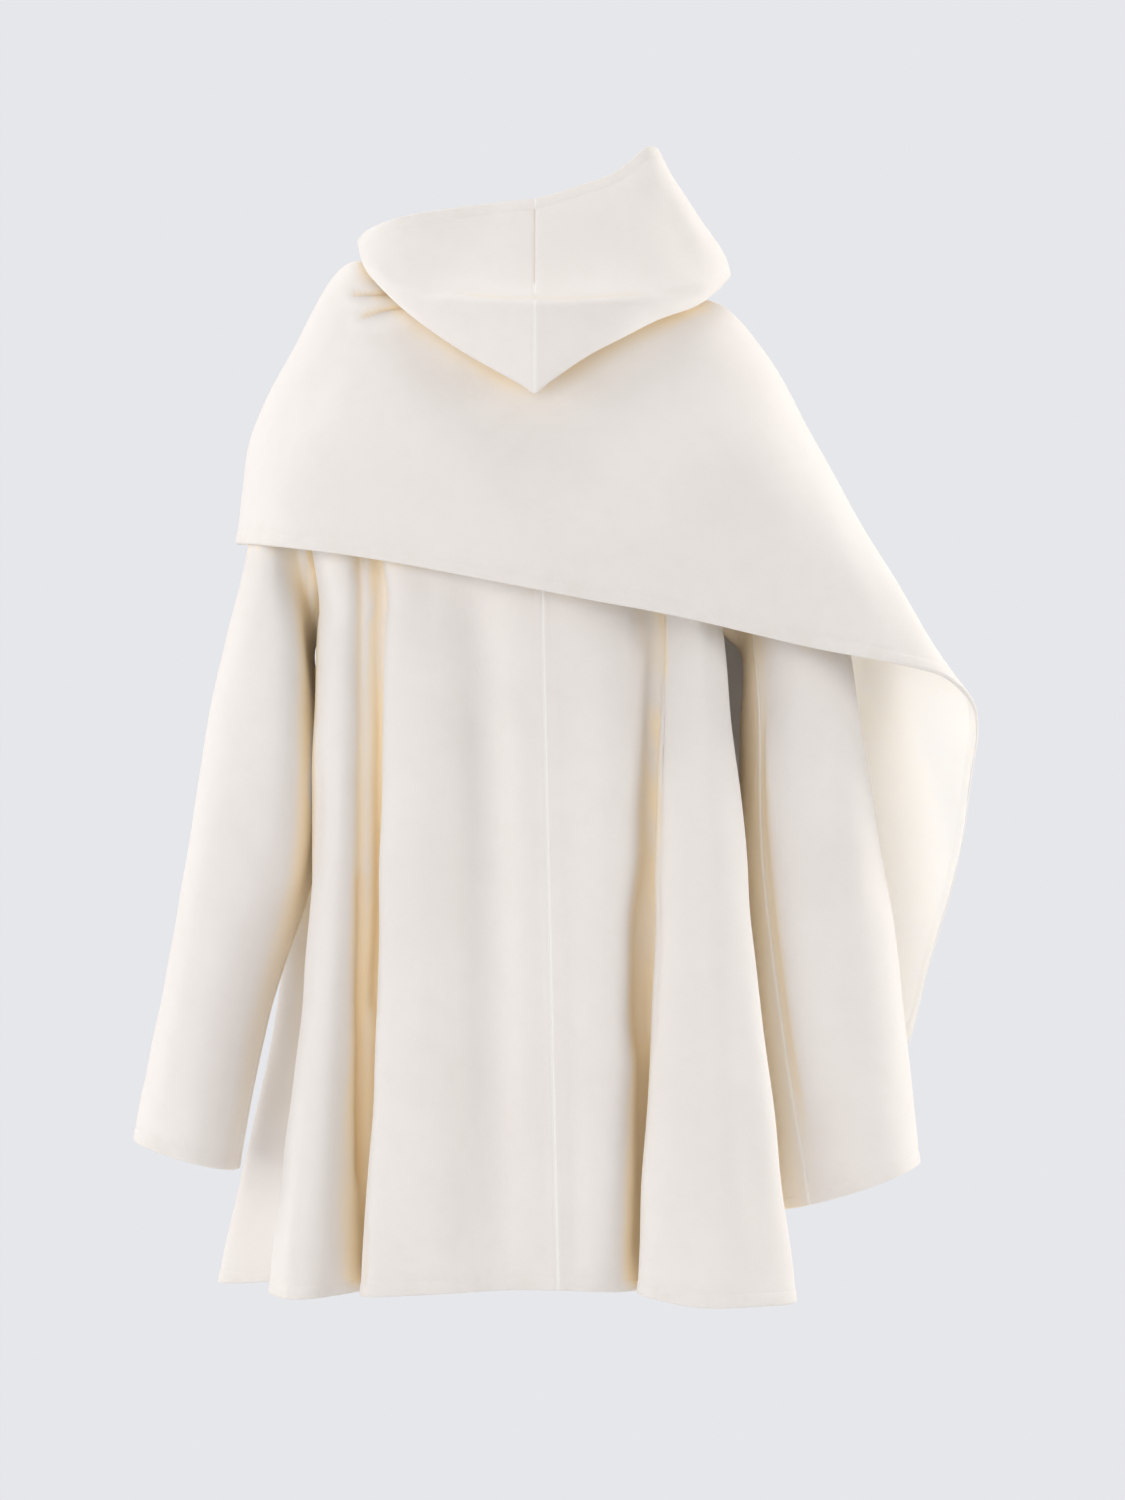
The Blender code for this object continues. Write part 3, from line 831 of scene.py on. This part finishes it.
def shell(grid, outer_lift, inner_lift, turned):
    """The points and faces of a shell with rounded edges, and the numbers of the points round its edge."""
    normals = facing_out(grid)
    outer = grid + normals * outer_lift[..., None]
    inner = grid - normals * inner_lift[..., None]
    place_i, place_j, outward, roll = rim_of(grid, turned)
    middle, normal = grid[place_i, place_j], normals[place_i, place_j]
    rims = []
    for k in range(1, RIM_STEPS):
        turn = math.pi * k / RIM_STEPS
        lift = (outer_lift if math.cos(turn) >= 0 else inner_lift)[place_i, place_j][:, None]
        rims.append(middle + outward * roll * math.sin(turn) + normal * lift * math.cos(turn))
    points = np.concatenate([outer.reshape(-1, 3), inner.reshape(-1, 3), *rims]) * METRES

    count = outer_lift.size
    places = np.arange(count).reshape(outer_lift.shape)
    quads, boundary = quads_of(places), places[place_i, place_j]
    around = np.arange(len(boundary))
    loops = [boundary]
    loops += [2 * count + k * len(boundary) + around for k in range(RIM_STEPS - 1)]
    loops += [boundary + count]
    faces = [quads, quads[:, ::-1] + count]
    for near, far in zip(loops, loops[1:]):
        faces.append(np.stack([near, np.roll(near, -1), np.roll(far, -1), far], axis=-1))
    return points, np.concatenate(faces), boundary


def add_object(name, data):
    """A new object in the scene."""
    thing = bpy.data.objects.new(name, data)
    bpy.context.scene.collection.objects.link(thing)
    return thing


def add_values(mesh, label, values):
    """One number for each point of a mesh, under a label that the material reads."""
    mesh.attributes.new(label, "FLOAT", "POINT").data.foreach_set("value", values.astype(np.float32))


def cloth(name, grid, hollow, turned, seams, hem, depth, material):
    """One piece of the coat as a thin shell, with the measures and flat places that its wool goes by, some of
    them for painted shade.
    """
    u, v, edge, along = edge_places(grid, turned)
    seam = edge_places(grid, seams)[2]
    outer_lift, inner_lift = face_lifts(v[-1:] - v, edge, seam, hem)
    points, faces, boundary = shell(grid, outer_lift, inner_lift, turned)
    mesh = bpy.data.meshes.new(name + "_cloth")
    mesh.from_pydata(points.tolist(), [], faces.tolist())
    mesh.shade_smooth()

    def spread(values):
        """The values of a grid on both faces and round the edge."""
        flat = values.reshape(-1)
        return np.concatenate([flat, flat] + [flat[boundary]] * (RIM_STEPS - 1))

    # The crease measure carries the shade that the wool paints along narrow creases.
    for label, values in (("edge", edge), ("along", along), ("seam", seam), ("hollow", hollow)):
        add_values(mesh, label, spread(values * METRES))
    # The depth measure is the share of rays that meet cloth; the wool paints warm shade into the folds by it.
    add_values(mesh, "depth", spread(depth))
    glow = GLOW * np.clip((grid[..., 0] - GLOW_START) / GLOW_RUN, 0, 1) * (name == "cape")
    add_values(mesh, "glow", spread(glow))
    within = np.full(len(points), 0.5)
    within[:edge.size] = (1 - shown_side(name)) / 2
    within[edge.size:2 * edge.size] = (1 + shown_side(name)) / 2
    add_values(mesh, "within", within)
    flat = np.stack([spread(u), spread(v)], axis=-1) * METRES
    corner_points = np.empty(len(mesh.loops), np.int32)
    mesh.loops.foreach_get("vertex_index", corner_points)
    mesh.uv_layers.new(name="cloth").data.foreach_set("uv", flat[corner_points].astype(np.float32).ravel())

    piece = add_object(name + "_cloth", mesh)
    mesh.materials.append(material)
    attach(piece, "root")
    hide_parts(name)
    return piece


# Materials
class Nodes:
    """The nodes of one material, with short ways to add them."""

    def __init__(self, name):
        self.material = bpy.data.materials.new(name)
        self.material.use_nodes = True
        self.tree = self.material.node_tree
        self.shader = self.tree.nodes["Principled BSDF"]

    def add(self, kind, **settings):
        node = self.tree.nodes.new(kind)
        for key, value in settings.items():
            setattr(node, key, value)
        return node

    def feed(self, socket, value):
        """Give a socket a constant, or join it to another node's output."""
        if isinstance(value, (int, float, tuple)):
            socket.default_value = value
        else:
            self.tree.links.new(value, socket)

    def attribute(self, label):
        return self.add("ShaderNodeAttribute", attribute_name=label).outputs["Fac"]

    def noise(self, coordinates, scale, detail, roughness=0.5):
        node = self.add("ShaderNodeTexNoise")
        self.feed(node.inputs["Vector"], coordinates)
        node.inputs["Scale"].default_value = scale
        node.inputs["Detail"].default_value = detail
        node.inputs["Roughness"].default_value = roughness
        return node.outputs["Fac"]

    def ranged(self, value, low, high, to_low, to_high):
        """A value taken smoothly from one range to another."""
        node = self.add("ShaderNodeMapRange", interpolation_type="SMOOTHSTEP")
        sockets = ("Value", "From Min", "From Max", "To Min", "To Max")
        for socket, number in zip(sockets, (value, low, high, to_low, to_high)):
            self.feed(node.inputs[socket], number)
        return node.outputs["Result"]

    def maths(self, operation, *values):
        node = self.add("ShaderNodeMath", operation=operation)
        for socket, value in zip(node.inputs, values):
            self.feed(socket, value)
        return node.outputs[0]

    def blended(self, amount, first, second):
        node = self.add("ShaderNodeMix", data_type="RGBA")
        self.feed(node.inputs["Factor"], amount)
        self.feed(node.inputs[6], first)
        self.feed(node.inputs[7], second)
        return node.outputs[2]


def wool_colour_with_painted_light(nodes, space, mottle, nap, inner):
    """Cream with clouds, mottle and nap in it, and a tint for each of the places named below: worn edges,
    painted shade in the folds and narrow creases, a painted highlight along the seams, and inner faces
    painted lighter, as light through the cloth.
    """
    ranged, maths, attribute = nodes.ranged, nodes.maths, nodes.attribute
    hollow = attribute("hollow")
    outside = ranged(attribute("within"), 0.4, 0.9, 1, 0)
    worn = ranged(mottle, 0.3, 0.7, 0.05, 0.35)
    handled = maths("MULTIPLY", ranged(attribute("edge"), 0.0, 0.022, 1, 0), worn)
    # Painted shade: a warm tan laid into the folds, by how much cloth shuts each place in.
    painted_fold_shade = maths("MULTIPLY", ranged(attribute("depth"), 0.28, 0.8, 0, 0.85), outside)
    # Painted shade: a tan laid along the narrow creases.
    press_and_painted_shade = maths("MULTIPLY", ranged(hollow, 0.0006, 0.0055, 0, 0.7), outside)
    # Painted highlight: a lighter line along the seams, left out where shade is painted along a crease.
    painted_seam_highlight = maths("MULTIPLY", ranged(attribute("seam"), 0.0004, 0.0018, 0.8, 0), outside)
    painted_seam_highlight = maths("MULTIPLY", painted_seam_highlight, ranged(hollow, 0.0003, 0.0012, 1, 0))
    tints = (
        (ranged(nodes.noise(space, 7, 3), 0.35, 0.65, 0, 1), (0.862, 0.820, 0.790, 1)),
        (ranged(mottle, 0.4, 0.75, 0, 0.22), (0.825, 0.775, 0.735, 1)),
        (ranged(nap, 0.45, 0.8, 0, 0.35), (0.912, 0.884, 0.856, 1)),
        (handled, (0.800, 0.752, 0.705, 1)),
        (painted_fold_shade, (1.0, 0.85, 0.61, 1)),
        (press_and_painted_shade, (0.90, 0.70, 0.42, 1)),
        (painted_seam_highlight, (0.95, 0.93, 0.90, 1)),
        # Painted light: the inner faces lighter and warmer, standing in for light coming through the cloth.
        (maths("MULTIPLY", inner, 0.85), (0.95, 0.913, 0.872, 1)),
    )
    colour = (0.880, 0.846, 0.816, 1)
    for amount, tint in tints:
        colour = nodes.blended(amount, colour, tint)
    return colour


def wool_relief(nodes, space, mottle, nap):
    """The nap, the fibres, the mottle and the stitches beside the turned edges, as a bump."""
    ranged, maths, attribute = nodes.ranged, nodes.maths, nodes.attribute
    fibre = nodes.noise(space, 2600, 3, 0.7)
    away = maths("ABSOLUTE", maths("SUBTRACT", attribute("edge"), TURNED * METRES))
    beat = maths("SINE", maths("MULTIPLY", attribute("along"), 2 * math.pi / (STITCH_BEAT * METRES)))
    stitches = maths("MULTIPLY", ranged(away, 0.0, 0.0011, 1, 0), ranged(beat, -0.2, 0.6, 0, 1))
    height = maths("ADD", maths("MULTIPLY", nap, 0.6), maths("MULTIPLY", fibre, 0.4))
    height = maths("SUBTRACT", height, maths("MULTIPLY", stitches, 0.2))
    height = maths("ADD", height, maths("MULTIPLY", mottle, 0.5))
    bump = nodes.add("ShaderNodeBump")
    bump.inputs["Strength"].default_value = 0.45
    bump.inputs["Distance"].default_value = 0.0007
    nodes.feed(bump.inputs["Height"], height)
    return bump.outputs["Normal"]


def wool():
    """Napped cream wool, with shade, a seam highlight and light through the cloth painted into its colour."""
    nodes = Nodes("napped_cream_wool_painted_light")
    shader = nodes.shader
    space = nodes.add("ShaderNodeTexCoord").outputs["Object"]
    grain = nodes.add("ShaderNodeMapping")
    grain.inputs["Scale"].default_value = (1.0, 0.4, 1.0)
    nodes.feed(grain.inputs["Vector"], nodes.add("ShaderNodeUVMap", uv_map="cloth").outputs["UV"])
    mottle = nodes.noise(space, 60, 4, 0.6)
    nap = nodes.noise(grain.outputs["Vector"], 900, 4, 0.65)
    inner = nodes.ranged(nodes.attribute("within"), 0.5, 1, 0, 1)
    nodes.feed(shader.inputs["Base Color"], wool_colour_with_painted_light(nodes, space, mottle, nap, inner))
    nodes.feed(shader.inputs["Roughness"], nodes.ranged(nap, 0.2, 0.8, 0.96, 0.82))
    nodes.feed(shader.inputs["Normal"], wool_relief(nodes, space, mottle, nap))
    nodes.feed(shader.inputs["Subsurface Weight"], nodes.maths("MULTIPLY", inner, nodes.attribute("glow")))
    shader.inputs["Subsurface Radius"].default_value = (1.0, 0.86, 0.70)
    shader.inputs["Subsurface Scale"].default_value = 0.02
    shader.inputs["Metallic"].default_value = 0.0
    shader.inputs["Specular IOR Level"].default_value = 0.15
    shader.inputs["Sheen Weight"].default_value = 0.28
    shader.inputs["Sheen Roughness"].default_value = 0.45
    shader.inputs["Sheen Tint"].default_value = (1.0, 0.975, 0.94, 1)
    return nodes.material


# Studio, in metres
FLOOR_RADIUS = 3.2
FLOOR_Z = -1.55

# The lamps: where each stands, the place that it faces, its width, its power in watts and its colour
LAMPS = table("""
name             x     y    z   to_x to_y   to_z size power  red  green   blue
key          -1.15  -3.4  0.0  -0.05    0  -0.35  2.6  37.5  1.0  0.990  0.980
side_left    -2.70  -1.3  0.1  -0.10    0  -0.35  1.8  20.0  1.0  0.985  0.965
side_right    2.70  -0.8  0.0   0.25    0  -0.40  1.6  21.0  1.0  0.980  0.950
top           0.10   0.0  2.2   0.00    0  -0.20  1.8  24.0  1.0  0.990  0.970
rim_left     -2.30   1.5  0.2  -0.10    0  -0.30  1.2  27.0  1.0  0.980  0.950
rim_right     2.50   1.5  0.1   0.20    0  -0.30  1.2  45.0  1.0  0.970  0.920
""")


def camera():
    """A long lens, level with the middle of the coat."""
    data = bpy.data.cameras.new("camera")
    data.sensor_width = 36
    data.lens = 107.7
    eye = add_object("camera", data)
    eye.location = (0.02145, -3.58, -0.351)
    eye.rotation_euler = (math.radians(90), 0, 0)
    bpy.context.scene.camera = eye


def floor():
    """A wide pale disc under the coat."""
    ring = []
    for angle in range(0, 360, 5):
        turn = math.radians(angle)
        ring.append((FLOOR_RADIUS * math.cos(turn), FLOOR_RADIUS * math.sin(turn), FLOOR_Z))
    mesh = bpy.data.meshes.new("studio_floor")
    mesh.from_pydata(ring, [], [list(range(len(ring)))])
    pale = Nodes("pale_floor")
    pale.shader.inputs["Base Color"].default_value = (0.78, 0.785, 0.80, 1)
    pale.shader.inputs["Roughness"].default_value = 0.9
    mesh.materials.append(pale.material)
    add_object("studio_floor", mesh)


def backdrop():
    """A pale backdrop for the camera, and a dimmer one for the light round the coat."""
    world = bpy.data.worlds.new("pale_studio")
    bpy.context.scene.world = world
    world.use_nodes = True
    nodes, links = world.node_tree.nodes, world.node_tree.links
    seen = nodes["Background"]
    seen.inputs["Color"].default_value = (0.791, 0.799, 0.831, 1)
    around = nodes.new("ShaderNodeBackground")
    around.inputs["Color"].default_value = (0.80, 0.795, 0.80, 1)
    around.inputs["Strength"].default_value = 0.5
    either = nodes.new("ShaderNodeMixShader")
    links.new(nodes.new("ShaderNodeLightPath").outputs["Is Camera Ray"], either.inputs["Fac"])
    links.new(around.outputs["Background"], either.inputs[1])
    links.new(seen.outputs["Background"], either.inputs[2])
    links.new(either.outputs["Shader"], nodes["World Output"].inputs["Surface"])
    bpy.context.scene.view_settings.view_transform = "Standard"


def soft_light(lamp):
    data = bpy.data.lights.new(lamp["name"], "AREA")
    data.shape = "DISK"
    data.size = lamp["size"]
    data.energy = lamp["power"]
    data.color = (lamp["red"], lamp["green"], lamp["blue"])
    light = add_object(lamp["name"], data)
    place = np.array([lamp["x"], lamp["y"], lamp["z"]])
    target = np.array([lamp["to_x"], lamp["to_y"], lamp["to_z"]])
    light.location = place
    light.rotation_euler = Vector(target - place).to_track_quat("-Z", "Y").to_euler()


camera()
floor()
backdrop()
for lamp in LAMPS:
    soft_light(lamp)
wool_with_painted_light = wool()
right_sleeve = sleeve_columns(1, SLEEVE_RIGHT, (16, 232))
left_sleeve = sleeve_columns(-1, SLEEVE_LEFT, (13, 198))

HEM = ("bottom",)
SIDES = ("left", "right")
SLEEVE_SEAMS = ("top", "left", "right")

# Each piece: its grid, its turned edges, its seams and whether it ends in a hem
PIECES = {
    "coat_back_right": (coat_grid(0, 90, False, 0, 120), HEM, SIDES, True),
    "coat_back_left": (coat_grid(270, 360, False, 0, 120), HEM, SIDES, True),
    "coat_front_right": (coat_grid(90, 194, True, 1, 116), ("bottom", "right"), ("left",), True),
    "coat_front_left": (coat_grid(166, 270, True, -1, 124), ("bottom", "left"), ("right",), True),
    "sleeve_right_top": (sleeve_grid(right_sleeve, -8, 8, 1, 84), HEM, SLEEVE_SEAMS, True),
    "sleeve_right_under": (sleeve_grid(right_sleeve, 8, 16, 1, 40), HEM, SLEEVE_SEAMS, True),
    "sleeve_left_top": (sleeve_grid(left_sleeve, -11, 8, -1, 84), HEM, SLEEVE_SEAMS, True),
    "sleeve_left_under": (sleeve_grid(left_sleeve, 8, 13, -1, 24), HEM, SLEEVE_SEAMS, True),
    "cape": (cape_grid(300), ("bottom", "left", "right"), (), False),
    "hood_left": (hood_grid(HOOD_LEFT, 120), ("bottom", "left"), ("right",), False),
    "hood_right": (hood_grid(HOOD_RIGHT, 120), ("bottom", "right"), ("left",), False),
}
shaped = {name: creased(name, grid, seams) for name, (grid, _, seams, _) in PIECES.items()}
occlusion_shares = occlusion_for_painted_shade({name: grid for name, (grid, _) in shaped.items()})
pieces = {
    name: cloth(name, *shaped[name], turned, seams, hem, occlusion_shares[name], wool_with_painted_light)
    for name, (_, turned, seams, hem) in PIECES.items()
}

# The cut of each piece, flat: its width, length and area in metres and square metres
CUTS = table("""
name                width length   area
coat_back_right      0.40   0.84  0.229
coat_back_left       0.41   0.84  0.254
coat_front_right     0.42   0.84  0.243
coat_front_left      0.46   0.84  0.274
sleeve_right_top     0.27   0.62  0.155
sleeve_right_under   0.13   0.52  0.062
sleeve_left_top      0.27   0.62  0.149
sleeve_left_under    0.08   0.52  0.037
cape                 1.20   0.62  0.431
hood_left            0.34   0.20  0.050
hood_right           0.36   0.24  0.067
""")
